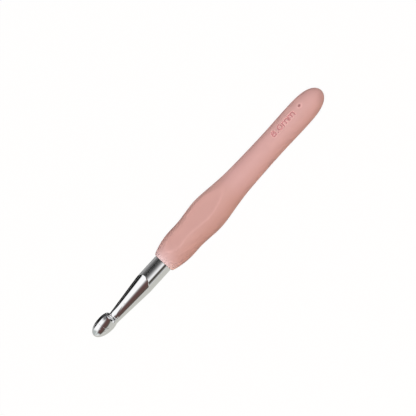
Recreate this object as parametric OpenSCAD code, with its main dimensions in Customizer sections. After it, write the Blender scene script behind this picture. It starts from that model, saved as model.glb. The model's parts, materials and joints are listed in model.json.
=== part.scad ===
// Soft-grip crochet hook
// A one-piece metal hook ends in a tang. A rigid handle core is moulded onto the tang, and a soft
// grip is moulded over the core. Millimetres. The axis of the tool is X, with the tip towards +X.
// The mouth of the hook and the thumb rest face +Z. The origin is on the axis, where the shank
// leaves the grip.

/* [Hook] */
// Hook size: the diameter of the round shank
hook_size = 8; // [7.5:0.5:9]
// Distance from the front of the grip to the tip
reach = 40; // [38:0.5:43]
// Length of the plain round shank in front of the grip
shank_len = 9.1; // [7:0.1:10]
// Half angle of the tapered neck, in degrees
neck_taper = 4.45; // [4:0.05:4.8]
// Lean of the neck away from the mouth, in degrees
neck_lean = 1.85; // [1.4:0.05:2.4]
// Height of the throat's floor above the axis
throat_floor = 1.4; // [1.2:0.05:1.5]
// Upward tilt of the head, in degrees
head_tilt = 8; // [5:0.5:10]

/* [Grip] */
// Length of the soft grip
grip_len = 92.7; // [85:0.1:100]
// Diameter of the bulge that fills the fingers
bulge_d = 15; // [14:0.1:17]
// Diameter of the tail near its rear end
tail_d = 11; // [10.4:0.1:12]
// Distance between the thumb rest and the finger rest, at their middle
across_rests = 12.16; // [11.6:0.02:12.4]
// Slope of each flat rest towards the hook, in degrees
rest_slope = 0.95; // [0.5:0.05:1.5]

/* [Core] */
// Thickness of the soft skin over the core
skin = 1.2; // [0.9:0.05:1.4]
// Diameter of the tang inside the core
tang_d = 5; // [4:0.1:5.2]
// Length of the tang inside the handle
tang_len = 46; // [40:1:50]
// Number of grooves that key the skin to the core
key_grooves = 4; // [2:1:5]

/* [Hidden] */
$fn = 96;

// Wide enough to cut through the whole tool
through = 30;

// Shank, its seat in the mouth of the grip, and the tang
hook_r = hook_size / 2;
seat_r = hook_r - 0.2;
seat_len = 2;
tang_r = tang_d / 2;
tang_chamfer = 0.6;
// Ring grooves and two flats hold the tang against pulling and turning
ring_depth = 0.5;
ring_width = 2.4;
ring_places = [0.35, 0.6];
key_flat_depth = 0.7;
key_flat_len = 9;

// Neck: a cone that leans back cuts into the round shank, tapers, and dives into the head
neck_set = 0.045;
neck_lead = 1;
neck_len = reach - 11 - shank_len;
neck_end_r = hook_r + neck_set - neck_len * tan(neck_taper);
dive_r = 12;
dive_last = 35;

// Head: half its length, width and height, and how far its middle sits towards the mouth
head_half = hook_r * [1.6, 0.9, 0.6875];
head_lift = 0.3 * hook_r;
head_x = reach - head_half[0];
// Back of the head: a long round that carries the neck's back on to the tip
back_half = hook_r * [2.45, 0.605, 0.605];
back_x = reach - 10.7;
back_z = -0.175 * hook_r;
back_tilt = head_tilt + 5;

// Mouth: a short slope runs down to the throat, and a wall with a round lip rises from it
throat_slope = 9.5;
throat_r = 1.1;
lip_x = reach - 9.6;
lip_r = 1.55;
lip_z = throat_floor + throat_r + 0.05;
cut_top = 2 * hook_r;

// Grip outline from the tail to the mouth: place along the axis, radius and slope
tail_r = tail_d / 2;
bulge_r = bulge_d / 2;
stations = [
    [-0.83 * grip_len, tail_r, 0],
    [-0.70 * grip_len, tail_r - 0.16, 0],
    [-0.485 * grip_len, tail_r + 0.23, 0.035],
    [-0.384 * grip_len, 0.53 * bulge_r + 0.47 * tail_r, 0.115],
    [-0.281 * grip_len, bulge_r, 0],
    [-0.155 * grip_len, bulge_r - 0.9, 0],
    [-0.117 * grip_len, bulge_r - 0.83, 0],
    [-0.015 * grip_len, hook_r + 1.16, -0.33]
];
steps_per_span = 7;
// The rear end is rounded more squarely than an ellipse
rear_power = 3.5;
rear_step = 7.5;
mouth_r = hook_r + 0.3;
rim_steps = 5;

// Rests: flats on both sides, which end where they meet the round of the grip
rest_x = -0.173 * grip_len;
rest_z = across_rests / 2;
rest_back = 0.35 * grip_len;

// Grooves round the core
key_width = 3;
key_depth = 0.6;
key_first = 0.54 * grip_len;
key_last = 0.86 * grip_len;

// Smooth curve between two stations, at t from 0 to 1
function between(a, b, t) =
    let (h = b[0] - a[0])
    [a[0] + h * t,
     (2 * t ^ 3 - 3 * t ^ 2 + 1) * a[1] + (t ^ 3 - 2 * t ^ 2 + t) * h * a[2]
     + (3 * t ^ 2 - 2 * t ^ 3) * b[1] + (t ^ 3 - t ^ 2) * h * b[2]];

// Outline of the grip as [radius, place], set in by a wall's thickness, from the rear to the front
function rear_end(inset) =
    let (tail = stations[0], depth = grip_len + tail[0] - inset)
    [for (a = [90:-rear_step:rear_step / 2])
        [(tail[1] - inset) * cos(a), tail[0] - depth * sin(a) ^ (2 / rear_power)]];
function sides(inset) =
    [for (i = [0:len(stations) - 2], k = [0:steps_per_span - 1])
        let (p = between(stations[i], stations[i + 1], k / steps_per_span)) [p[1] - inset, p[0]]];
function last_station() = stations[len(stations) - 1];

// Rounded rim from the last station to the front face
function rim() =
    let (s = last_station(), corner = s[1] - s[2] * s[0])
    [for (k = [0:rim_steps])
        let (t = k / rim_steps)
        [(1 - t) ^ 2 * s[1] + 2 * t * (1 - t) * corner + t ^ 2 * mouth_r, (1 - t) ^ 2 * s[0]]];

// Turns a profile of [radius, place] round the X axis
module turned(profile) {
    rotate([0, 90, 0]) rotate_extrude() polygon(profile);
}

// Pulls a drawing in X and Z through the tool, along Y
module through_cut() {
    rotate([90, 0, 0]) linear_extrude(through, center = true) children();
}

// Metal that is turned round the axis: tang, seat and shank, with stock for the neck
module turned_shank() {
    rings = [for (p = ring_places) -p * tang_len];
    ring_notch = [for (i = [len(rings) - 1:-1:0])
        each [[tang_r, rings[i] - ring_width], [tang_r - ring_depth, rings[i] - ring_width],
              [tang_r - ring_depth, rings[i]], [tang_r, rings[i]]]];
    turned(concat(
        [[0, -tang_len], [tang_r - tang_chamfer, -tang_len], [tang_r, tang_chamfer - tang_len]],
        ring_notch,
        [[tang_r, -seat_len], [seat_r, -seat_len], [seat_r, 0], [hook_r, 0],
         [hook_r, head_x], [0, head_x]]));
}

// What the neck keeps of the round stock: all of the shank, then the leaning cone
module neck_limit() {
    dive = [for (a = [neck_taper:(dive_last - neck_taper) / 6:dive_last])
        [neck_end_r - dive_r * (cos(neck_taper) - cos(a)), neck_len + dive_r * (sin(a) - sin(neck_taper))]];
    translate([shank_len - neck_lead / 2 - through * 2, -through / 2, -through / 2])
        cube([through * 2, through, through]);
    translate([shank_len, 0, -neck_set]) rotate([0, neck_lean, 0])
        turned(concat([[0, -neck_lead], [hook_r + neck_set + neck_lead * tan(neck_taper), -neck_lead]],
            dive, [[0, dive[len(dive) - 1][1]]]));
}

// Flats on both sides of the tang's end
module tang_flats() {
    for (side = [-1, 1])
        translate([-tang_len - 1, side * (tang_d - key_flat_depth) - tang_r, -tang_r])
            cube([key_flat_len + 1, tang_d, tang_d]);
}

// Oval head, leaning towards the mouth, and the long round of its back
module head() {
    translate([head_x, 0, head_lift]) rotate([0, -head_tilt, 0])
        scale(head_half) rotate([0, 90, 0]) sphere(1);
    intersection() {
        translate([back_x, 0, back_z]) rotate([0, -back_tilt, 0])
            scale(back_half) rotate([0, 90, 0]) sphere(1);
        translate([back_x, -hook_r, -hook_r]) cube([reach, hook_size, hook_size]);
    }
}

// What is cut away in front of the head: the slope, the throat and the round of the lip
module mouth_cut() {
    throat_end = lip_x - throat_r;
    through_cut() {
        translate([throat_end, throat_floor]) rotate(-throat_slope)
            translate([-2 * hook_r, 0]) square([2 * hook_r, cut_top]);
        translate([throat_end, throat_floor + throat_r]) {
            circle(throat_r);
            square([throat_r, cut_top]);
        }
        difference() {
            translate([lip_x, lip_z]) square([lip_r, cut_top]);
            translate([lip_x + lip_r, lip_z]) circle(lip_r);
        }
    }
}

// Space over a flat rest, set in by a wall's thickness
module rest_cut(inset) {
    through_cut() translate([rest_x, rest_z - inset]) rotate(-rest_slope)
        translate([-rest_back, 0]) square([2 * rest_back, bulge_r]);
}

// Thumb rest above and finger rest below
module both_rests(inset) {
    rest_cut(inset);
    mirror([0, 0, 1]) rest_cut(inset);
}

// Outside of the core, which is also the hollow of the grip
module core_outside() {
    front = last_station();
    body = [for (p = sides(skin)) if (p[1] < -seat_len) p];
    difference() {
        turned(concat(rear_end(skin), body, [[front[1] - skin, -seat_len], [0, -seat_len]]));
        both_rests(skin);
        for (i = [0:key_grooves - 1])
            key_groove(-key_first - (key_last - key_first) * i / (key_grooves - 1));
    }
}

// One groove round the core at a place along the axis
module key_groove(x) {
    bottom = tail_r - skin - key_depth;
    turned([[bottom, x - key_width / 2], [bulge_r, x - key_width / 2],
            [bulge_r, x + key_width / 2], [bottom, x + key_width / 2]]);
}

module hook_shank() {
    color("silver") difference() {
        union() {
            intersection() {
                turned_shank();
                neck_limit();
            }
            head();
        }
        mouth_cut();
        tang_flats();
    }
}

module handle_core() {
    color("gainsboro") difference() {
        core_outside();
        difference() {
            turned_shank();
            tang_flats();
        }
    }
}

module soft_grip() {
    color([0.84, 0.64, 0.61]) difference() {
        turned(concat(rear_end(0), sides(0), rim(), [[0, 0]]));
        both_rests(0);
        core_outside();
        translate([-seat_len - 1, 0, 0]) rotate([0, 90, 0]) cylinder(h = seat_len + 2, r = seat_r);
    }
}

hook_shank();
handle_core();
soft_grip();
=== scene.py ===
"""Soft-grip crochet hook: the looks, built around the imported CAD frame."""

import json
import math

import bpy
import numpy as np
from mathutils import Matrix, Vector


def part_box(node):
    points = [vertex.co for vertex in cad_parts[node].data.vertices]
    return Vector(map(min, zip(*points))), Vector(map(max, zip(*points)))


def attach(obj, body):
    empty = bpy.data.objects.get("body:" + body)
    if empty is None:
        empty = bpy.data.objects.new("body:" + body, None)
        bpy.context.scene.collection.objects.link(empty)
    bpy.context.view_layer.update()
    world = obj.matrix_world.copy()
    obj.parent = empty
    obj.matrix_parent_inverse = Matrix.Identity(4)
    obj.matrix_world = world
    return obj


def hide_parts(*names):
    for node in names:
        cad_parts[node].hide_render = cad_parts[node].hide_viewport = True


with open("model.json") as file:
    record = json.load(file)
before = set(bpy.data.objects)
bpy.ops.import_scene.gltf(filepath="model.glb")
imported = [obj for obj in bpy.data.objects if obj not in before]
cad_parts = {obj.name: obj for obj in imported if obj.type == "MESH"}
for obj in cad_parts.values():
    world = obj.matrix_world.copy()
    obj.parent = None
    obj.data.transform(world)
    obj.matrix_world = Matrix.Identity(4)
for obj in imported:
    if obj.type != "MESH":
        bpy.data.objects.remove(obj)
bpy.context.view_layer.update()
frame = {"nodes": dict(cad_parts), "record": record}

bl_info = {
    "name": "Soft-grip crochet hook",
    "version": (1, 0, 0),
    "blender": (4, 5, 0),
    "location": "View3D > Sidebar > Crochet hook",
    "description": "Builds the soft grip, the polished hook and the studio around the packed CAD frame",
    "category": "Object",
}

MM = 0.001
MOUNTS = {mount["name"]: mount for mount in frame["record"]["mounts"]}
SHANK_R = MOUNTS["shank"]["dims"]["r_mm"] * MM
REST_PLACE = MOUNTS["thumb_rest"]["pos_m"]
REST_AXIS = MOUNTS["thumb_rest"]["axis"]
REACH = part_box("hook_shank")[1].x
TANG_LEN = -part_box("hook_shank")[0].x
GRIP_LEN = -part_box("soft_grip")[0].x
BULGE_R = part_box("soft_grip")[1].y
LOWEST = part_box("soft_grip")[0].z
# Length of the neck and the head together
NECK_AND_HEAD = 30.85 * MM
SHANK_LEN = REACH - NECK_AND_HEAD
# Seat of the shank in the mouth of the grip
SEAT_LEN, SEAT_R = 2.0 * MM, SHANK_R - 0.2 * MM
# A distance past everything on the tool, and next to none
FAR, LEAST = 1.0, 1e-6


# Sizes and colours that a user would change

class GripSizes(bpy.types.PropertyGroup):
    """Sizes of the soft grip."""
    tail_radius: bpy.props.FloatProperty(
        name="Tail radius", description="Radius near the rear end", default=5.5 * MM,
        unit="LENGTH", precision=5)
    skin: bpy.props.FloatProperty(
        name="Skin", description="Thickness of the soft skin over the core", default=1.2 * MM,
        unit="LENGTH", precision=5)
    rest_edge: bpy.props.FloatProperty(
        name="Rest edge", description="How crisp the edges of the flat rests are", default=60.0)
    mark_height: bpy.props.FloatProperty(
        name="Mark height", description="Height of the size mark's figures", default=2.6 * MM,
        unit="LENGTH", precision=5)
    mark_stroke: bpy.props.FloatProperty(
        name="Mark stroke", description="Width of the size mark's strokes", default=0.42 * MM,
        unit="LENGTH", precision=5)
    mark_depth: bpy.props.FloatProperty(
        name="Mark depth", description="Depth of the size mark", default=0.2 * MM,
        unit="LENGTH", precision=5)


class HookSizes(bpy.types.PropertyGroup):
    """Sizes of the metal hook."""
    neck_oval: bpy.props.FloatProperty(
        name="Neck oval", description="Width of the neck over its height", default=1.07)
    crease: bpy.props.FloatProperty(
        name="Crease", description="How crisp the start of the neck is", default=3000.0)
    edge: bpy.props.FloatProperty(
        name="Edge", description="How crisp the edges of the mouth are", default=45.0)
    blend: bpy.props.FloatProperty(
        name="Blend", description="How closely the head follows on from the neck", default=24.0)
    crown: bpy.props.FloatProperty(
        name="Throat crown", description="How far the throat's floor bends down to its sides, per metre",
        default=150.0)
    scoop: bpy.props.FloatProperty(
        name="Throat scoop", description="How far the throat's wall bends up to its sides, per metre",
        default=110.0)


class Finishes(bpy.types.PropertyGroup):
    """Colours of the finishes."""
    skin_colour: bpy.props.FloatVectorProperty(
        name="Skin colour", description="Colour of the soft grip", subtype="COLOR",
        default=(0.709, 0.396, 0.364))
    metal_colour: bpy.props.FloatVectorProperty(
        name="Metal colour", description="Colour of the polished hook", subtype="COLOR",
        default=(0.84, 0.84, 0.85))
    core_colour: bpy.props.FloatVectorProperty(
        name="Core colour", description="Colour of the handle core", subtype="COLOR",
        default=(0.78, 0.76, 0.71))


class StudioSettings(bpy.types.PropertyGroup):
    """Light, floor and camera."""
    view_turn: bpy.props.FloatProperty(
        name="View turn", description="How far the mouth is turned away from the camera",
        default=math.radians(24), subtype="ANGLE")
    frame_width: bpy.props.FloatProperty(
        name="Frame width", description="Width of the picture at the hook", default=164.95 * MM,
        unit="LENGTH")
    camera_distance: bpy.props.FloatProperty(
        name="Camera distance", description="Distance of the camera from the hook", default=6.0,
        unit="LENGTH")
    key_power: bpy.props.FloatProperty(
        name="Key power", description="Power of the large soft key light", default=5.9, unit="POWER")
    fill: bpy.props.FloatProperty(
        name="Fill", description="Strength of the light that comes from all round", default=0.28)


# Shader maths

class Value:
    """A shader socket that can stand in a Python expression."""

    def __init__(self, tree, socket):
        self.tree = tree
        self.socket = socket

    def maths(self, operation, first, second):
        """One maths node."""
        return self.tree.node("ShaderNodeMath", {"operation": operation}, {0: first, 1: second})

    def __add__(self, other):
        return self.maths("ADD", self, other)

    __radd__ = __add__

    def __mul__(self, other):
        return self.maths("MULTIPLY", self, other)

    __rmul__ = __mul__

    def __sub__(self, other):
        return self.maths("SUBTRACT", self, other)

    def __rsub__(self, other):
        return self.maths("SUBTRACT", other, self)

    def __pow__(self, other):
        return self.maths("POWER", self, other)


class Tree:
    """A node tree that takes nodes one call at a time."""

    def __init__(self, owner):
        owner.use_nodes = True
        self.nodes = owner.node_tree.nodes
        self.links = owner.node_tree.links
        self.nodes.clear()

    def node(self, kind, settings=None, inputs=None, out=0):
        """Adds a node, sets it, then fills or links its sockets. Returns one output as a Value."""
        node = self.nodes.new(kind)
        for name, setting in (settings or {}).items():
            if name == "stops":
                while len(node.color_ramp.elements) < len(setting):
                    node.color_ramp.elements.new(1.0)
                for element, (place, colour) in zip(node.color_ramp.elements, setting):
                    element.position, element.color = place, (*colour, 1.0)
            else:
                setattr(node, name, setting)
        for name, given in (inputs or {}).items():
            if isinstance(given, Value):
                self.links.new(given.socket, node.inputs[name])
            else:
                node.inputs[name].default_value = given
        return Value(self, node.outputs[out]) if len(node.outputs) else None

    def colour(self, given):
        """A colour for a socket, from three numbers or from a node."""
        return given if isinstance(given, Value) else (*given, 1.0)

    def mix(self, factor, first, second):
        """Mixes two colours."""
        inputs = {0: factor, 6: self.colour(first), 7: self.colour(second)}
        return self.node("ShaderNodeMix", {"data_type": "RGBA"}, inputs, 2)

    def glow(self, colour, strength=1.0):
        """A surface that shows one colour whatever the light."""
        return self.node("ShaderNodeEmission", None, {"Color": self.colour(colour), "Strength": strength})

    def noise(self, place, scale=1.0, detail=2.0, roughness=0.5):
        """Soft noise at a place."""
        return self.node("ShaderNodeTexNoise", None,
                         {"Vector": place, "Scale": scale, "Detail": detail, "Roughness": roughness})

    def stretched(self, place, factors):
        """Scales a place along each axis."""
        return self.node("ShaderNodeVectorMath", {"operation": "MULTIPLY"}, {0: place, 1: factors})

    def place(self):
        """Where a point is on the tool, in metres."""
        return self.node("ShaderNodeTexCoord", out=3)

    def attribute(self, name):
        """A number that the mesh carries at its points."""
        return self.node("ShaderNodeAttribute", {"attribute_name": name}, out=2)

    def bump(self, strength, distance, height):
        """Normals bent by a height."""
        return self.node("ShaderNodeBump", None,
                         {"Strength": strength, "Distance": distance, "Height": height})


def new_material(name, build):
    """A material whose surface comes from build(tree)."""
    material = bpy.data.materials.new(name)
    tree = Tree(material)
    surface = build(tree)
    tree.node("ShaderNodeOutputMaterial", None, {"Surface": surface})
    return material


def tinted(colour, tint):
    """A colour times a tint, no brighter than white."""
    return [min(1.0, c * t) for c, t in zip(colour, tint)]


def mottled(tree, pattern, colour, low, high):
    """A colour that wanders between a darker and a lighter share of itself."""
    return tree.mix(pattern, tinted(colour, (low,) * 3), tinted(colour, (high,) * 3))


# Tints of the soft skin, as shares of its colour: grain, then painted shade over the bulge, painted
# highlights along edges and at the front rim, and painted shade in the mark and the dimple
GRAIN_TINT = (0.8, 0.8, 0.8)
PAINTED_SHADE_TINT = (0.92, 0.885, 0.83)
EDGE_HIGHLIGHT_TINT = (1.20, 1.26, 1.28)
FRONT_HIGHLIGHT_TINT = (1.40, 1.85, 2.00)
MARK_SHADE_TINT = (0.84, 0.45, 0.54)
DIMPLE_SHADE_TINT = (0.58, 0.42, 0.46)


def soft_skin(tree):
    """Soft-touch elastomer: fine matt grain, slight mottling, painted shade on the bulge and in the
    recesses, and painted highlights along edges and at the front rim.
    """
    colour = tuple(bpy.context.scene.hook_finishes.skin_colour)
    place = tree.place()
    grain = tree.noise(place, scale=5200.0, detail=3.0, roughness=0.6)
    handled = tree.attribute("handled")
    base = mottled(tree, tree.noise(place, scale=160.0), colour, low=0.97, high=1.03)
    # Layers: grain, painted shade on the bulge, painted highlights along edges, a painted highlight at the
    # front rim, and painted shade in the mark and the dimple
    layers = [
        (grain * 0.12, GRAIN_TINT), (handled * 0.7, PAINTED_SHADE_TINT), (tree.attribute("light"), EDGE_HIGHLIGHT_TINT),
        (tree.attribute("front"), FRONT_HIGHLIGHT_TINT), (tree.attribute("recess"), MARK_SHADE_TINT),
        (tree.attribute("gate"), DIMPLE_SHADE_TINT)]
    for share, tint in layers:
        base = tree.mix(share, base, tinted(colour, tint))
    return tree.node("ShaderNodeBsdfPrincipled", None, {
        "Base Color": base, "Roughness": 0.5 + 0.16 * grain - 0.05 * handled, "Specular IOR Level": 0.35,
        "Sheen Weight": 0.06, "Sheen Roughness": 0.5,
        "Normal": tree.bump(strength=0.25, distance=0.03 * MM, height=grain)})


def polished_metal(tree):
    """Polished aluminium: a mirror with faint turning lines and a few fine rubs along it."""
    colour = tuple(bpy.context.scene.hook_finishes.metal_colour)
    place = tree.place()
    turned = tree.noise(tree.stretched(place, (9000.0, 90.0, 90.0)))
    rubbed = tree.noise(tree.stretched(place, (120.0, 5200.0, 5200.0)), detail=3.0, roughness=0.6)
    base = mottled(tree, tree.noise(place, scale=420.0), colour, low=0.97, high=1.02)
    roughness = 0.012 + 0.01 * turned + 0.016 * rubbed ** 3.0
    return tree.node("ShaderNodeBsdfPrincipled", None, {
        "Base Color": base, "Metallic": 1.0, "Roughness": roughness,
        "Normal": tree.bump(strength=0.02, distance=0.001 * MM, height=turned + rubbed)})


def core_plastic(tree):
    """Moulded plastic with faint flow marks along the core."""
    colour = tuple(bpy.context.scene.hook_finishes.core_colour)
    place = tree.place()
    flow = tree.noise(tree.stretched(place, (90.0, 700.0, 700.0)), detail=3.0)
    grain = tree.noise(place, scale=3000.0)
    return tree.node("ShaderNodeBsdfPrincipled", None, {
        "Base Color": mottled(tree, flow, colour, low=0.94, high=1.0), "Roughness": 0.42 + 0.12 * grain,
        "Normal": tree.bump(strength=0.15, distance=0.02 * MM, height=grain)})


# Mesh helpers

def smooth_least(first, second, crisp):
    """The smaller of two distances, with the corner between them rounded."""
    low, high = np.minimum(first, second), np.maximum(first, second)
    return low * (1.0 + (low / high) ** crisp) ** (-1.0 / crisp)


def smooth_most(first, second, crisp):
    """The larger of two distances, with the corner between them filled."""
    low, high = np.minimum(first, second), np.maximum(first, second)
    return high * (1.0 + (low / high) ** crisp) ** (1.0 / crisp)


def smooth_step(low, high, x):
    """Rises from 0 at low to 1 at high, or falls where high comes first along x."""
    t = np.clip((x - low) / (high - low), 0.0, 1.0)
    return t * t * (3.0 - 2.0 * t)


def smooth_span(stops, x):
    """Rises from 0 to 1 between the first two stops, and falls to 0 between the last two."""
    return smooth_step(*stops[:2], x) * (1 - smooth_step(*stops[2:], x))


def new_object(name, data):
    """A new object in the scene."""
    made = bpy.data.objects.new(name, data)
    bpy.context.scene.collection.objects.link(made)
    return made


def new_piece(name, points, faces, material):
    """A new mesh in the scene, in one material."""
    mesh = bpy.data.meshes.new(name)
    mesh.from_pydata(points, [], faces)
    mesh.materials.append(material)
    return new_object(name, mesh)


def paint(piece, shades):
    """Numbers at a mesh's points for its material, and 0 at the points left over."""
    for name, shade in shades.items():
        values = np.zeros(len(piece.data.vertices), np.float32)
        values[:shade.size] = shade.ravel()
        piece.data.attributes.new(name, "FLOAT", "POINT").data.foreach_set("value", values)


def ring_mesh(name, rings, first_pole, last_pole, material):
    """A closed mesh from rings of points, with a pole at each end."""
    count, around = len(rings), rings.shape[1]
    points = np.concatenate([rings.reshape(-1, 3), [first_pole, last_pole]])
    ring, step = np.meshgrid(np.arange(count - 1), np.arange(around), indexing="ij")
    turn = (step + 1) % around
    quads = np.stack([ring * around + step, (ring + 1) * around + step,
                      (ring + 1) * around + turn, ring * around + turn], axis=-1)
    here = np.arange(around)
    there = (here + 1) % around
    first, last = count * around, count * around + 1
    end = (count - 1) * around
    faces = quads.reshape(-1, 4).tolist()
    faces += np.stack([np.full(around, first), here, there], axis=-1).tolist()
    faces += np.stack([np.full(around, last), end + there, end + here], axis=-1).tolist()
    piece = new_piece(name, points.tolist(), faces, material)
    mesh = piece.data
    mesh.validate()
    mesh.polygons.foreach_set("use_smooth", np.ones(len(mesh.polygons), bool))
    mesh.update()
    return piece


def around_axis(x, radius, angle, centre=0.0):
    """Points at a radius and an angle from +Z towards +Y, about a line at a height over the axis."""
    x, radius, angle, centre = np.broadcast_arrays(x, radius, angle, centre)
    return np.stack([x, radius * np.sin(angle), centre + radius * np.cos(angle)], axis=-1)


# Soft grip

# The rear end is rounded more squarely than an ellipse, which has a power of 2
REAR_POWER = 3.5
# Keeps the flats' reach finite at the sides of the grip
LEAST_COSINE = 1e-3


def grip_stations(sizes):
    """Place along the axis, radius and slope, from the tail to the mouth."""
    tail = sizes.tail_radius
    return [
        (-0.83 * GRIP_LEN, tail, 0.0),
        (-0.70 * GRIP_LEN, tail - 0.16 * MM, 0.0),
        (-0.485 * GRIP_LEN, tail + 0.23 * MM, 0.035),
        (-0.384 * GRIP_LEN, 0.53 * BULGE_R + 0.47 * tail, 0.115),
        (-0.281 * GRIP_LEN, BULGE_R, 0.0),
        (-0.155 * GRIP_LEN, BULGE_R - 0.9 * MM, 0.0),
        (-0.117 * GRIP_LEN, BULGE_R - 0.83 * MM, 0.0),
        (-0.015 * GRIP_LEN, SHANK_R + 1.16 * MM, -0.33),
    ]


def side_radius(stations, x):
    """Radius of the grip's side at each place, on a smooth curve through the stations."""
    radius = np.zeros_like(x)
    for (x0, r0, s0), (x1, r1, s1) in zip(stations, stations[1:]):
        h = x1 - x0
        t = (x - x0) / h
        curve = ((2 * t**3 - 3 * t**2 + 1) * r0 + (t**3 - 2 * t**2 + t) * h * s0
                 + (3 * t**2 - 2 * t**3) * r1 + (t**3 - t**2) * h * s1)
        radius = np.where((x >= x0) & (x <= x1), curve, radius)
    return radius


def rear_places(stations, inset, steps):
    """Places along the rear end, closer together towards its pole."""
    x0 = stations[0][0]
    turn = np.linspace(math.pi / 2, 0.0, steps + 1)[1:-1]
    return x0 - (GRIP_LEN + x0 - inset) * np.sin(turn) ** (2 / REAR_POWER)


def rear_radius(stations, inset, x):
    """Radius of the rear end at each place."""
    x0, r0, _ = stations[0]
    share = np.clip((x0 - x) / (GRIP_LEN + x0 - inset), 0.0, 1.0)
    return (r0 - inset) * np.sqrt(1.0 - share**REAR_POWER)


def rest_reach(x, angle, inset=0.0):
    """How far the flat rests are from the axis, at each place and angle."""
    fall = REST_AXIS[0] / REST_AXIS[2]
    height = REST_PLACE[2] - inset - fall * (x - REST_PLACE[0])
    return height / np.maximum(np.abs(np.cos(angle)), LEAST_COSINE)


def stroke_points(centre, half_width, half_height, start, end, steps=24):
    """Points on an arc of an ellipse, with angles in degrees from the reading direction."""
    turn = np.radians(np.linspace(start, end, steps + 1))
    return np.stack([centre[0] + half_width * np.cos(turn), centre[1] + half_height * np.sin(turn)], -1)


def size_mark(height, stroke):
    """Strokes of the plain size mark 8.0 mm, as lines of points along and up from its start.

    Their sizes are shares of the figures' height.
    """
    h = height - stroke
    low = stroke / 2
    lines = [
        stroke_points((0.4 * h, low + 0.27 * h), 0.38 * h, 0.27 * h, 0, 360),
        stroke_points((0.4 * h, low + 0.77 * h), 0.31 * h, 0.23 * h, 0, 360),
        np.array([[1.28 * h, low], [1.30 * h, low + 0.04 * h]]),
        stroke_points((2.05 * h, low + h / 2), 0.42 * h, h / 2, 0, 360),
    ]
    tall, arch, rise = 0.8 * h, 0.33 * h, 0.32 * h
    for left in (2.83 * h, 4.36 * h):
        lines.append(np.array([[left, low], [left, low + tall]]))
        for leg in (1, 2):
            middle = left + (2 * leg - 1) * arch
            top = stroke_points((middle, low + tall - rise), arch, rise, 180, 0, 12)
            lines.append(np.concatenate([top, [[middle + arch, low]]]))
    return lines


def distance_to(lines, along, up):
    """Distance of each point from the nearest stroke."""
    nearest = np.full(along.shape, FAR)
    for line in lines:
        for (a0, b0), (a1, b1) in zip(line, line[1:]):
            da, db = a1 - a0, b1 - b0
            t = np.clip(((along - a0) * da + (up - b0) * db) / (da * da + db * db), 0.0, 1.0)
            nearest = np.minimum(nearest, np.hypot(along - a0 - t * da, up - b0 - t * db))
    return nearest


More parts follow.
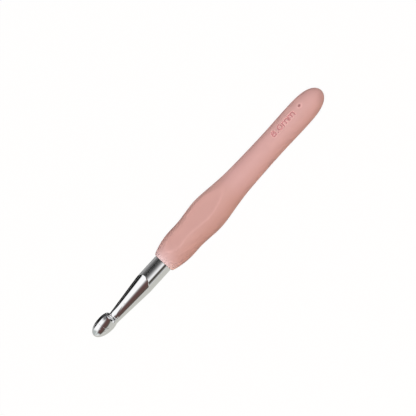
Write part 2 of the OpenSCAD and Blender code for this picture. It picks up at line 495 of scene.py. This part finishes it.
class HOOK_OT_soft_grip(bpy.types.Operator):
    """Models the soft grip with its rests, its size mark and its gate dimple"""
    bl_idname = "crochet_hook.soft_grip"
    bl_label = "Soft grip"

    # Where the mark and the dimple are, along the tool and round it
    mark_x, mark_turn = -66.3 * MM, math.radians(13.6)
    dimple_x, dimple_turn = -82.25 * MM, math.radians(-1.2)
    dimple_r, dimple_depth = 0.6 * MM, 0.45 * MM
    # Their edges and the painted highlights round them, in halves of a stroke and in radii of the dimple
    mark_edge, dimple_edge = (0.5, 1.35), (0.45, 1.05)
    mark_halo, dimple_halo = (2.1, 0.7), (1.7, 0.4)
    # How strongly the painted shade in them and the painted highlight round them are laid on
    mark_tone, dimple_tone, halo_tone = 0.75, 0.9, 0.55
    # Rings lie closest over the mark and the dimple, with margins behind and ahead
    fine_step, coarse_step = 0.1 * MM, 0.55 * MM
    margin_behind, margin_ahead = 1.2 * MM, 0.8 * MM
    rear_steps, rim_steps, rim_gap = 36, 12, 0.3 * MM
    hollow_rings, hollow_steps = 60, 12
    fine_turns, coarse_turns = (-19.0, 17.5, 0.85), 132
    mouth_r = SHANK_R + 0.3 * MM
    # Painted highlight along the edge of a rest: how far the round stands over the flat there, its width,
    # the radii over which it fades in, its tone on the left, and how much stronger it is on the right
    ridge_over, ridge_width, ridge_ends = -0.004, 0.03, (0.2 * BULGE_R, 0.6 * BULGE_R)
    ridge_left, ridge_more, ridge_side = 0.08, 0.18, 0.3
    # Radii over which the grip begins to carry painted shade and a smoother, worn finish, and the length
    # over which the painted highlight at the front fades
    wear_and_shade_radii = (0.76 * BULGE_R, 0.86 * BULGE_R)
    front_highlight_fade = 1.6 * MM

    def angles(self):
        """Angles round the grip, close together under the size mark."""
        fine = np.radians(np.arange(*self.fine_turns))
        coarse = np.linspace(fine[-1], fine[0] + 2 * math.pi, self.coarse_turns)[1:-1]
        return np.concatenate([fine, coarse])

    def outline(self, stations):
        """Place and radius of each ring before the rests are cut, from the rear to the mouth."""
        first, last = stations[0][0], stations[-1][0]
        low, high = self.dimple_x - self.margin_behind, self.mark_x + self.margin_ahead
        rear = rear_places(stations, 0.0, self.rear_steps)
        fine = np.arange(low, high, self.fine_step)
        front = np.arange(high + self.fine_step, last - self.rim_gap, self.coarse_step)
        x = np.concatenate([rear[rear < low - self.fine_step / 2], fine, front, [last]])
        r = np.where(x < first, rear_radius(stations, 0.0, x), side_radius(stations, x))
        t = np.linspace(0.0, 1.0, self.rim_steps + 1)[1:]
        x0, r0, slope = stations[-1]
        corner = r0 - slope * x0
        rim_x = (1 - t) ** 2 * x0
        rim_r = (1 - t) ** 2 * r0 + 2 * t * (1 - t) * corner + t**2 * self.mouth_r
        return np.concatenate([x, rim_x])[:, None], np.concatenate([r, rim_r])[:, None]

    def outside(self, sizes, stations, angle):
        """Place and radius of the outer surface, ring by ring, and where its painted shade and highlights
        lie.
        """
        x, r = self.outline(stations)
        flat = rest_reach(x, angle)
        radius = smooth_least(r, flat, sizes.rest_edge)
        depth, recess, gate, halo = self.sunk(sizes, x, r, angle)
        over = r / flat - 1.0
        # Painted highlight along the rests' edges, stronger on the right side
        ridge = np.exp(-((over - self.ridge_over) / self.ridge_width) ** 2)
        ridge = ridge * smooth_step(*self.ridge_ends, radius)
        right = smooth_step(-self.ridge_side, self.ridge_side, np.sin(angle))
        ridge = ridge * (self.ridge_left + self.ridge_more * right)
        # Painted shade over the bulge, where the finish is also smoother from wear
        handled = smooth_step(*self.wear_and_shade_radii, r) + 0 * over
        # Painted highlight on the front rim, fading towards the rear
        front = np.exp(np.minimum(x, 0.0) / self.front_highlight_fade) + 0 * over
        return x, radius - depth, {"recess": recess, "gate": gate, "handled": handled,
                                   "light": np.maximum(halo, ridge), "front": front}

    def sunk(self, sizes, x, r, angle):
        """Depth of the size mark and the gate dimple, the painted shade in each, and the painted highlight
        round them.
        """
        turned = (angle + math.pi) % (2 * math.pi) - math.pi
        along = self.mark_x - x + 0 * turned
        up = (self.mark_turn - turned) * r
        lines = size_mark(sizes.mark_height, sizes.mark_stroke)
        off = distance_to(lines, along, up) / (sizes.mark_stroke / 2)
        mark = 1.0 - smooth_step(*self.mark_edge, off)
        hole = np.hypot(x - self.dimple_x, (turned - self.dimple_turn) * r) / self.dimple_r
        dimple = 1.0 - smooth_step(*self.dimple_edge, hole)
        depth = sizes.mark_depth * mark + self.dimple_depth * dimple
        halos = [np.exp(-((far - place) / width) ** 2)
                 for far, (place, width) in ((off, self.mark_halo), (hole, self.dimple_halo))]
        return depth, self.mark_tone * mark, self.dimple_tone * dimple, self.halo_tone * np.maximum(*halos)

    def inside(self, sizes, stations, angle):
        """Rings of the mouth and of the hollow that the core fills, from the front to the rear."""
        # Place and radius of the mouth's edge, which closes on the shank and runs down to the seat
        mouth = [(0.0, SHANK_R + 0.1 * MM), (-0.05 * MM, SHANK_R - 0.02 * MM),
                 (-0.14 * MM, SEAT_R), (-SEAT_LEN, SEAT_R)]
        x = np.linspace(-SEAT_LEN, stations[0][0], self.hollow_rings)
        core = side_radius(stations, np.minimum(x, stations[-1][0])) - sizes.skin
        rear = rear_places(stations, sizes.skin, self.hollow_steps)[::-1]
        x = np.concatenate([x, rear])[:, None]
        core = np.concatenate([core, rear_radius(stations, sizes.skin, rear)])[:, None]
        hollow = around_axis(x, np.minimum(core, rest_reach(x, angle, sizes.skin)), angle)
        rings = [around_axis(place, np.full_like(angle, r), angle) for place, r in mouth]
        return np.concatenate([np.stack(rings), hollow])

    def execute(self, context):
        sizes = context.scene.hook_grip
        stations = grip_stations(sizes)
        angle = self.angles()
        x, radius, shades = self.outside(sizes, stations, angle)
        outer = around_axis(x, radius, angle)
        inner = self.inside(sizes, stations, angle)
        piece = ring_mesh("soft_grip_skin", np.concatenate([outer, inner]), (-GRIP_LEN, 0.0, 0.0),
                          (-GRIP_LEN + sizes.skin, 0.0, 0.0), new_material("soft_skin", soft_skin))
        paint(piece, shades)
        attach(piece, "root")
        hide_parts("soft_grip")
        return {"FINISHED"}


# Metal hook

def tilted_section(x, place, half, tilt):
    """Middle, half width and half height of a tilted ellipsoid where a plane across the tool cuts it."""
    dx = x - place[0]
    s, c = math.sin(tilt), math.cos(tilt)
    square = s * s / half[0] ** 2 + c * c / half[2] ** 2
    cross = dx * s * c * (1 / half[0] ** 2 - 1 / half[2] ** 2)
    rest = dx**2 * (c * c / half[0] ** 2 + s * s / half[2] ** 2)
    left = np.maximum(1.0 - rest + cross**2 / square, LEAST**2)
    return place[1] - cross / square, half[1] * np.sqrt(left), np.sqrt(left / square)


def oval_reach(angle, centre, middle, half_width, half_height):
    """How far an oval reaches from a centre inside it, and nothing where the centre is outside."""
    s, c = np.sin(angle), np.cos(angle)
    a = (s / half_width) ** 2 + (c / half_height) ** 2
    b = c * (centre - middle) / half_height**2
    d = ((centre - middle) / half_height) ** 2 - 1.0
    reach = (-b + np.sqrt(np.maximum(b * b - a * d, 0.0))) / a
    return np.where(d < 0, reach, LEAST)


class HOOK_OT_metal_hook(bpy.types.Operator):
    """Models the polished hook: tang, shank, tapered neck, throat and head"""
    bl_idname = "crochet_hook.metal_hook"
    bl_label = "Metal hook"

    # Points round each ring, and round each corner of the mouth
    turns, corner_turns = 180, 24
    # Tang: its radius and chamfer, and the radius, width and places of its grooves
    tang_r, chamfer = 2.5 * MM, 0.6 * MM
    groove_r, groove_width, groove_places = 2.0 * MM, 2.4 * MM, (0.6, 0.35)
    # The shank's edge is broken where it leaves the grip
    shoulder_r = SHANK_R - 0.05 * MM
    # Neck: how fast it tapers and leans back, how far its cut leads in, where it ends, and the round with
    # which it dives into the head
    neck_slope, neck_fall = 0.0862, 0.0344
    neck_lead = 0.5 * MM
    neck_end = REACH - 10.95 * MM
    dive_r, dive_limit, dive_least = 12.0 * MM, 0.97, 0.05 * MM
    # Head and its back: half sizes, place and height of the middle, and tilt
    head_half = (1.6 * SHANK_R, 0.905 * SHANK_R, 0.69 * SHANK_R)
    head_place = (REACH - 6.35 * MM, 0.3 * SHANK_R)
    head_tilt = math.radians(8)
    back_half = (2.45 * SHANK_R, 0.605 * SHANK_R, 0.605 * SHANK_R)
    back_place = (REACH - 10.65 * MM, -0.175 * SHANK_R)
    back_tilt = math.radians(13)
    # The rear of the head is wider and higher
    rear_span = (head_place[0] - 2.6 * MM, head_place[0] + 1.0 * MM)
    rear_wider, rear_higher = 0.04, 0.15 * MM
    # Where the rings' middle goes over from the neck to the head, and where the head joins the neck
    middle_span = (neck_end - 0.5 * MM, head_place[0] + 1.5 * MM)
    join_span = (neck_end - 0.1 * MM, neck_end + 0.7 * MM)
    # Mouth: the throat's floor, slope and round, and the lip
    throat_floor = 1.4 * MM
    throat_slope, slope_len = math.radians(9.5), 7.0 * MM
    throat_r = 1.1 * MM
    lip_x, lip_r = REACH - 9.55 * MM, 2.2 * MM
    lip_gap, lip_rise = 0.02 * MM, 0.05 * MM
    # Where the throat's floor is crowned and where its wall is scooped, from the lip
    floor_stops = (-3.4 * MM, -1.9 * MM, -1.6 * MM, -1.0 * MM)
    wall_stops = (-1.5 * MM, -0.8 * MM, -0.02 * MM, 0.1 * MM)

    def mouth_line(self):
        """Place and height of the cut in front of the head, from the neck to the lip."""
        end = self.lip_x - self.throat_r
        start = end - self.slope_len
        turn = np.radians(np.linspace(0.0, 90.0, self.corner_turns))
        lip_z = self.throat_floor + self.throat_r + self.lip_rise
        x = [[start], end + self.throat_r * np.sin(turn),
             self.lip_x + self.lip_gap + self.lip_r * (1 - np.cos(turn))]
        z = [[self.throat_floor + (end - start) * math.tan(self.throat_slope)],
             self.throat_floor + self.throat_r * (1 - np.cos(turn)), lip_z + self.lip_r * np.sin(turn)]
        return np.concatenate(x), np.concatenate(z)

    def places(self):
        """Places along the axis where the hook's rings lie, closest round the throat."""
        line, _ = self.mouth_line()
        neck, lip = SHANK_LEN, self.lip_x
        spans = [
            np.linspace(0.05 * MM, 0.25 * MM, 4),  # edge of the shank
            np.linspace(0.6 * MM, neck - 0.4 * MM, 15),  # shank
            np.arange(neck - 0.3 * MM, neck + 4.6 * MM, 0.1 * MM),  # crease where the neck starts
            np.arange(neck + 4.7 * MM, lip - 4.0 * MM, 0.4 * MM),  # neck
            np.arange(lip - 3.9 * MM, lip + 2.2 * MM, 0.08 * MM),  # throat and lip
            line[1:],  # corners of the mouth
            np.arange(lip + 2.3 * MM, REACH - 2.0 * MM, 0.2 * MM),  # head
            REACH - 1.9 * MM * np.linspace(1.0, 0.03, 26) ** 2,  # tip
        ]
        return np.unique(np.round(np.concatenate(spans), 7))

    def neck_half(self, x):
        """Half height of the neck, which tapers and then dives into the head."""
        taper = SHANK_R - self.neck_slope * (x - SHANK_LEN)
        end = SHANK_R - self.neck_slope * (self.neck_end - SHANK_LEN)
        steep = (x - self.neck_end) / self.dive_r + self.neck_slope
        steep = np.clip(steep, self.neck_slope, self.dive_limit)
        dive = self.dive_r * (math.cos(self.neck_slope) - np.sqrt(1 - steep**2))
        return np.maximum(np.where(x > self.neck_end, end - dive, taper), self.dive_least)

    def mouth_reach(self, sizes, x, angle, centre):
        """How far the cut of the mouth is from each ring's middle."""
        height = np.interp(x, *self.mouth_line(), left=FAR, right=FAR) - centre
        ahead = x - self.lip_x
        crown = (sizes.crown * smooth_span(self.floor_stops, ahead)
                 - sizes.scoop * smooth_span(self.wall_stops, ahead))
        up = np.cos(angle)
        inside = up**2 + 4 * crown * np.sin(angle) ** 2 * height
        cut = 2 * height / np.maximum(up + np.sqrt(np.maximum(inside, 0.0)), LEAST)
        return np.where(inside > 0, cut, FAR)

    def sections(self, sizes, x, angle):
        """Middle and radius of each ring of the shank, neck and head."""
        along = x - SHANK_LEN
        half, neck_z = self.neck_half(x), -self.neck_fall * along
        head_z, head_w, head_h = tilted_section(x, self.head_place, self.head_half, self.head_tilt)
        rear = 1 - smooth_step(*self.rear_span, x)
        head_w, head_z = head_w * (1 + self.rear_wider * rear), head_z + self.rear_higher * rear
        back_z, back_w, back_h = tilted_section(x, self.back_place, self.back_half, self.back_tilt)
        into_head = smooth_step(*self.middle_span, x)
        centre = np.where(along > 0, neck_z, 0.0) * (1 - into_head) + head_z * into_head
        round_bar = oval_reach(angle, centre, 0.0 * x, SHANK_R, SHANK_R)
        neck = np.maximum(oval_reach(angle, centre, neck_z, half * sizes.neck_oval, half), LEAST)
        body = np.where(along > -self.neck_lead, smooth_least(round_bar, neck, sizes.crease), round_bar)
        back = oval_reach(angle, centre, back_z, back_w, back_h)
        head = oval_reach(angle, centre, head_z, head_w, head_h)
        whole = smooth_most(smooth_most(body, back, sizes.blend), head, sizes.blend)
        body = body + (whole - body) * smooth_step(*self.join_span, x)
        return centre, smooth_least(body, self.mouth_reach(sizes, x, angle, centre), sizes.edge)

    def tang(self, angle):
        """Rings of the tang with its grooves, and of the seat in the mouth of the grip."""
        tang_r, groove_r = self.tang_r, self.groove_r
        rings = [(-TANG_LEN, tang_r - self.chamfer), (-TANG_LEN + self.chamfer, tang_r)]
        for share in self.groove_places:
            front = -share * TANG_LEN
            back = front - self.groove_width
            rings += [(back, tang_r), (back, groove_r), (front, groove_r), (front, tang_r)]
        rings += [(-SEAT_LEN, tang_r), (-SEAT_LEN, SEAT_R), (0.0, SEAT_R), (0.0, self.shoulder_r)]
        return np.stack([around_axis(x, np.full_like(angle, r), angle) for x, r in rings])

    def execute(self, context):
        sizes = context.scene.hook_metal
        angle = np.linspace(-math.pi, math.pi, self.turns + 1)[:-1]
        x = self.places()[:, None]
        centre, radius = self.sections(sizes, x, angle)
        rings = np.concatenate([self.tang(angle), around_axis(x, radius, angle, centre)])
        tip_z, _, _ = tilted_section(np.array([REACH]), self.head_place, self.head_half, self.head_tilt)
        piece = ring_mesh("metal_hook", rings, (-TANG_LEN, 0.0, 0.0), (REACH, 0.0, float(tip_z[0])),
                          new_material("polished_metal", polished_metal))
        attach(piece, "root")
        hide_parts("hook_shank")
        return {"FINISHED"}


class HOOK_OT_handle_core(bpy.types.Operator):
    """Gives the moulded core inside the grip its plastic"""
    bl_idname = "crochet_hook.handle_core"
    bl_label = "Handle core"

    def execute(self, context):
        core = frame["nodes"]["handle_core"]
        core.data.materials.clear()
        core.data.materials.append(new_material("core_plastic", core_plastic))
        return {"FINISHED"}


# Studio

def ray_kind(tree, *names):
    """One for the named kinds of ray, and nothing for the others."""
    outputs = tree.node("ShaderNodeLightPath").socket.node.outputs
    kinds = [Value(tree, outputs[name]) for name in names]
    found = kinds[0]
    for kind in kinds[1:]:
        found = found.maths("MAXIMUM", found, kind)
    return found


# How much of the floor that is seen is plain white, while the rest keeps the shadow
PLAIN_SHARE = 0.96


def floor_paper(tree):
    """Pale paper: warm where it lights the hook, grey in the metal, white where it is seen."""
    paper = tree.node("ShaderNodeBsdfDiffuse", None, {"Color": (0.60, 0.41, 0.26, 1.0)})
    mirrored = tree.node("ShaderNodeMixShader", None, {
        0: ray_kind(tree, "Is Glossy Ray"), 1: paper, 2: tree.glow((0.64, 0.64, 0.59))})
    return tree.node("ShaderNodeMixShader", None, {
        0: ray_kind(tree, "Is Camera Ray", "Is Transmission Ray") * PLAIN_SHARE, 1: mirrored,
        2: tree.glow((1.0, 1.0, 1.0), strength=1.02)})


CARD_STRENGTH = 1.15
# Tones that lie over parts of a card
CARD_SHADES = {"pale": (0.455, 0.49, 0.475), "light": (0.80, 0.80, 0.79), "dim": (0.03, 0.03, 0.032)}


def card_material(name, low, high, stops):
    """A card whose colour changes with the angle round the tool, seen only in the polished metal."""
    def build(tree):
        placed = [((angle - low) / (high - low), tone if isinstance(tone, tuple) else (tone,) * 3)
                  for angle, tone in stops]
        colour = tree.node("ShaderNodeValToRGB", {"stops": placed}, {"Fac": tree.attribute("turn")})
        for shade, tone in CARD_SHADES.items():
            colour = tree.mix(tree.attribute(shade), colour, tone)
        return tree.glow(colour, CARD_STRENGTH)
    return new_material(name, build)


def skirt_material(name, first, last):
    """A part of the floor that goes from one tone to another, seen only in the polished metal."""
    def build(tree):
        return tree.glow(tree.mix(tree.attribute("share"), (first,) * 3, (last,) * 3), CARD_STRENGTH)
    return new_material(name, build)


class HOOK_OT_studio(bpy.types.Operator):
    """Sets up the pale floor, the soft light, the reflector cards and the camera"""
    bl_idname = "crochet_hook.studio"
    bl_label = "Studio"

    # Where the camera looks, along the tool and across it, and how far the tool leans in the picture
    aim, aim_side = Vector((-27.93 * MM, 0.0, 0.0)), 1.56 * MM
    lean = math.atan2(0.73798, 0.67482)
    sensor = 36.0
    floor_half = 8.0
    # Lights: distance and sizes, how far the key is off the camera, how far the side light is turned towards
    # the camera, and its share of the power
    lamp_distance, key_size, side_size = 0.9, 0.5, 0.7
    key_off, side_turn, side_share = 0.02, 0.35, 0.22
    key_colour, side_colour = (1.0, 0.99, 0.97), (0.93, 0.94, 1.0)
    # Cards: their distance, the angles that their colours cover, their rows and the last row on the floor
    card_distance = 6.0
    card_low, card_high = -130.0, 130.0
    card_rows, card_foot = (-64.0, 112.0, 89), 114.0
    # Columns of the cards, closest where the neck is mirrored
    card_columns, neck_columns = (-1.5, 1.5, 241), (0.14, 0.28, 141)
    # Borders of the cards along the tool, as shares of their distance
    card_ends = (-60.0, -3.6, -1.2, -0.64, 0.002, 0.0105, 60.0)
    # Colours of the cards by angle, in degrees from the camera to the upper left
    shank_stops = [
        (-64, 0.52), (-56, 0.36), (-48, (0.12, 0.11, 0.095)), (-41, (0.05, 0.042, 0.032)),
        (-34, (0.06, 0.05, 0.04)), (-27, 0.23), (-20, 0.88), (-8, 0.86), (2, 0.62), (10, 0.41), (18, 0.25),
        (28, 0.13), (44, 0.062), (58, 0.022), (77, 0.075), (97, 0.165), (112, 0.28), (130, 0.35)]
    hook_stops = [
        (-130, (0.54, 0.54, 0.50)), (-66, (0.54, 0.54, 0.50)), (-62, 0.20), (-59, (0.11, 0.10, 0.085)),
        (-44, (0.105, 0.065, 0.056)), (-9, (0.12, 0.065, 0.062)), (5, (0.18, 0.137, 0.133)), (17, 0.55),
        (25, 1.0), (76, 1.0), (82, 0.05), (88, 0.012), (112, 0.008), (130, 0.02)]
    throat_stops = [
        (-130, 0.06), (-54, 0.06), (-46, 0.85), (-22, 0.90), (-12, 0.03), (26, 0.03), (37, 0.95),
        (80, 0.95), (88, 0.03), (130, 0.03)]
    deep_stops = throat_stops[:-3] + [(91, 0.95), (98, 0.03), (130, 0.03)]
    far_stops = [(-130, 0.03), (130, 0.03)]
    # Place along the tool, then the angles where the head shows grey turn brown, brown turn white, and
    # white turn black. The neck shows its own borders in a narrow window.
    head_borders = np.array([
        (-0.64, 12, 70, 96), (-0.46, 1, 66, 94), (-0.28, -5, 52, 91), (-0.15, -10, 46, 89),
        (0.0, -19, 38, 87), (0.15, -26, 34, 87), (0.275, -31, 31, 90), (0.5, -40, 27, 96),
        (0.875, -51, 18, 100), (3.0, -60, 0, 100)])
    neck_borders = (-61.0, 18.0, 79.0)
    # The window lies a little past a place that moves with the angle from the neck's own middle
    neck_place, neck_window = 0.2445, (0.001, 0.0155)
    neck_bend, neck_middle = 0.54, 8
    # Places and angles over which parts of the cards turn paler, lighter or dimmer
    pale_fields = (((0.27, 0.48), (85, 100)), ((0.40, 0.75), (20, 40)), ((0.65, 1.0), (30, 10)))
    light_field = ((0.8, 1.4), (5, -30))
    dim_places, dim_angles = ((0.82, (-0.07, -0.27)), (0.18, (-0.42, -0.5))), (46, 60)
    # Where the floor at the upper left shows black in the throat, grey in the shank, black in the neck and
    # head, and pale in the tip. A bright part for the throat lies between two slanting borders.
    skirt_stops = (-0.006, 0.0105, 0.0405, 0.044)
    skirt_slants = (0.6, 1.65)
    skirt_near, skirt_far = -12.0 * MM, -7.5
    skirt_rear, skirt_front = -14.0, 3.0
    # The part under the tool begins in front of the grip
    under_start, under_edge = 0.5 * MM, -2.0 * MM
    skirt_lift = 0.2 * MM
    # Black, bright, grey and pale
    skirt_tones = (0.012, 0.95, 0.34, 0.45)

    def axes(self, turn):
        """Direction to the camera, the picture's upper left across the tool, and the picture's sides."""
        towards = Vector((0.0, math.sin(turn), math.cos(turn)))
        across = Vector((0.0, -math.cos(turn), math.sin(turn)))
        along = Vector((1.0, 0.0, 0.0))
        right = -math.cos(self.lean) * along - math.sin(self.lean) * across
        up = -math.sin(self.lean) * along + math.cos(self.lean) * across
        return towards, across, right, up

    def camera(self, studio):
        """The camera, far away, with the photograph's view."""
        towards, across, right, up = self.axes(studio.view_turn)
        data = bpy.data.cameras.new("camera")
        data.sensor_width = self.sensor
        data.lens = data.sensor_width * studio.camera_distance / studio.frame_width
        camera = new_object("camera", data)
        place = self.aim + self.aim_side * across + studio.camera_distance * towards
        turn = Matrix((right, up, towards)).transposed().to_4x4()
        camera.matrix_world = Matrix.Translation(place) @ turn
        bpy.context.scene.camera = camera

    def floor(self):
        """The pale floor on which the grip lies."""
        size = self.floor_half
        corners = [(-size, -size, 0), (size, -size, 0), (size, size, 0), (-size, size, 0)]
        floor = new_piece("floor", corners, [(0, 1, 2, 3)], new_material("floor_paper", floor_paper))
        floor.location.z = LOWEST

    def share(self, turn):
        """Angles as shares of the range that the cards' colours cover."""
        return np.clip((turn - self.card_low) / (self.card_high - self.card_low), 0.0, 1.0)

    def shades(self, columns, angles, bent):
        """How far round each point's colour is, and how much paler, lighter or dimmer it is."""
        x, a = columns[None, :], angles[:, None]
        if not bent:
            plain = 0 * x * a
            return {"turn": self.share(a + plain), "pale": plain, "light": plain, "dim": plain}
        low, high = self.card_low, self.card_high
        places, *rows = self.head_borders.T
        borders = np.array([np.interp(columns, places, row) for row in rows])
        turn = np.stack([np.interp(angles, (low, *column, high), (low, *self.neck_borders, high))
                         for column in borders.T], axis=1)
        past = x - self.neck_place * np.cos(np.radians(self.neck_bend * (a - self.neck_middle)))
        neck = (past > self.neck_window[0]) & (past < self.neck_window[1])
        turn = np.where(neck, a, turn)

        def field(along, turns):
            return smooth_step(*along, x) * smooth_step(*turns, a)

        pale = np.max([field(*each) for each in self.pale_fields], axis=0) * ~neck
        dim = sum(part * field(along, self.dim_angles) for part, along in self.dim_places)
        return {"turn": self.share(turn), "pale": pale, "light": field(*self.light_field), "dim": dim}

    def glossy_only(self, name, points, faces, material, shades):
        """A part of the stage that only the polished metal shows."""
        card = new_piece(name, points, faces, material)
        paint(card, shades)
        card.visible_camera = card.visible_diffuse = card.visible_shadow = False
        card.visible_transmission = card.visible_volume_scatter = False

    def card(self, studio, zone, name, stops, bent):
        """A curved card about the tool's axis, from the lower right to the upper left."""
        towards, across, _, _ = self.axes(studio.view_turn)
        angles = np.append(np.linspace(*self.card_rows), self.card_foot)
        out = [self.card_distance * (math.cos(a) * towards + math.sin(a) * across)
               for a in np.radians(angles)]
        out[-1].z = LOWEST
        spread = np.concatenate([np.linspace(*self.card_columns), np.linspace(*self.neck_columns)])
        columns = np.unique(np.concatenate([np.clip(spread, *zone), zone]))
        points = [(self.card_distance * x, o.y, o.z) for o in out for x in columns]
        step = len(columns)
        faces = [(row * step + i, row * step + i + 1, (row + 1) * step + i + 1, (row + 1) * step + i)
                 for row in range(len(out) - 1) for i in range(step - 1)]
        self.glossy_only(name, points, faces, card_material(name, self.card_low, self.card_high, stops),
                         self.shades(columns, angles, bent))

    def cards(self, studio):
        """The cards, from the rear to the front."""
        kinds = (
            ("card_far", self.far_stops, False), ("card_deep", self.deep_stops, False),
            ("card_throat", self.throat_stops, False), ("card_rear", self.hook_stops, True),
            ("card_shank", self.shank_stops, False), ("card_front", self.hook_stops, True))
        for kind, zone in zip(kinds, zip(self.card_ends, self.card_ends[1:])):
            self.card(studio, zone, *kind)

    def strip(self, low, high, slants=(0.0, 0.0)):
        """Corners of a strip of the floor at the upper left."""
        near, far = self.skirt_near, self.skirt_far
        return [(low + slants[0] * near, near), (high + slants[1] * near, near),
                (high + slants[1] * far, far), (low + slants[0] * far, far)]

    def skirts(self):
        """The parts of the floor with a tone of their own in the metal."""
        rear, grey, black, pale = self.skirt_stops
        steep, flat = self.skirt_slants
        start, edge, near = self.under_start, self.under_edge, self.skirt_near
        under = [(start, edge), (black, edge), (black, near), (start, near)]
        dark, bright, dull, light = self.skirt_tones
        along = {"share": np.array([0.0, 1.0, 1.0, 0.0])}
        for name, corners, first, last in (
                ("skirt_under", under, dark, dark),
                ("skirt_far", self.strip(self.skirt_rear, rear, (0.0, flat)), dark, dark),
                ("skirt_bright", self.strip(rear, rear, (flat, steep)), bright, bright),
                ("skirt_rear", self.strip(rear, rear, (steep, 0.0)), dark, dark),
                ("skirt_shank", self.strip(rear, grey), dull, dull),
                ("skirt_hook", self.strip(grey, black), dark, dark),
                ("skirt_tip", self.strip(black, pale), dark, light),
                ("skirt_front", self.strip(pale, self.skirt_front), light, light)):
            points = [(x, y, LOWEST + self.skirt_lift) for x, y in corners]
            self.glossy_only(name, points, [(0, 1, 2, 3)], skirt_material(name, first, last), along)

    def lamp(self, name, direction, power, size, colour):
        """A square light that shines on the tool and isn't mirrored in it."""
        data = bpy.data.lights.new(name, "AREA")
        data.energy, data.size, data.color = power, size, colour
        lamp = new_object(name, data)
        lamp.location = self.aim + self.lamp_distance * direction.normalized()
        lamp.rotation_euler = (self.aim - lamp.location).to_track_quat("-Z", "Y").to_euler()
        lamp.visible_glossy = False

    def lamps(self, studio):
        """The soft key light beside the camera, and a weaker light from the upper left."""
        towards, across, _, _ = self.axes(studio.view_turn)
        power = studio.key_power
        self.lamp("key_light", towards - self.key_off * across, power, self.key_size, self.key_colour)
        self.lamp("side_light", self.side_turn * towards + across, self.side_share * power, self.side_size,
                  self.side_colour)

    def world(self, studio):
        """White where it is seen or mirrored, and a soft fill everywhere else."""
        world = bpy.data.worlds.new("studio")
        bpy.context.scene.world = world
        tree = Tree(world)
        fill = tree.node("ShaderNodeBackground", None,
                         {"Color": (0.98, 0.95, 1.0, 1.0), "Strength": studio.fill})
        white = tree.node("ShaderNodeBackground", None, {"Color": (1.0, 1.0, 1.0, 1.0), "Strength": 1.0})
        surface = tree.node("ShaderNodeMixShader", None, {
            0: ray_kind(tree, "Is Camera Ray", "Is Glossy Ray", "Is Transmission Ray"), 1: fill, 2: white})
        tree.node("ShaderNodeOutputWorld", None, {"Surface": surface})

    def execute(self, context):
        studio = context.scene.hook_studio
        self.world(studio)
        self.floor()
        self.cards(studio)
        self.skirts()
        self.lamps(studio)
        self.camera(studio)
        context.scene.view_settings.view_transform = "Standard"
        return {"FINISHED"}


class VIEW3D_PT_crochet_hook(bpy.types.Panel):
    """Buttons for each piece and for the studio"""
    bl_label = "Crochet hook"
    bl_idname = "VIEW3D_PT_crochet_hook"
    bl_space_type = "VIEW_3D"
    bl_region_type = "UI"
    bl_category = "Crochet hook"

    def draw(self, context):
        for step in STEPS:
            self.layout.operator(step.bl_idname)


STEPS = (HOOK_OT_soft_grip, HOOK_OT_metal_hook, HOOK_OT_handle_core, HOOK_OT_studio)
SETTINGS = {"hook_grip": GripSizes, "hook_metal": HookSizes, "hook_finishes": Finishes,
            "hook_studio": StudioSettings}


def register():
    for group in SETTINGS.values():
        bpy.utils.register_class(group)
    for name, group in SETTINGS.items():
        setattr(bpy.types.Scene, name, bpy.props.PointerProperty(type=group))
    for shown in (*STEPS, VIEW3D_PT_crochet_hook):
        bpy.utils.register_class(shown)


def unregister():
    for shown in (VIEW3D_PT_crochet_hook, *reversed(STEPS)):
        bpy.utils.unregister_class(shown)
    for name in SETTINGS:
        delattr(bpy.types.Scene, name)
    for group in reversed(SETTINGS.values()):
        bpy.utils.unregister_class(group)


def main():
    register()
    bpy.ops.crochet_hook.soft_grip()
    bpy.ops.crochet_hook.metal_hook()
    bpy.ops.crochet_hook.handle_core()
    bpy.ops.crochet_hook.studio()


if __name__ == "__main__":
    main()
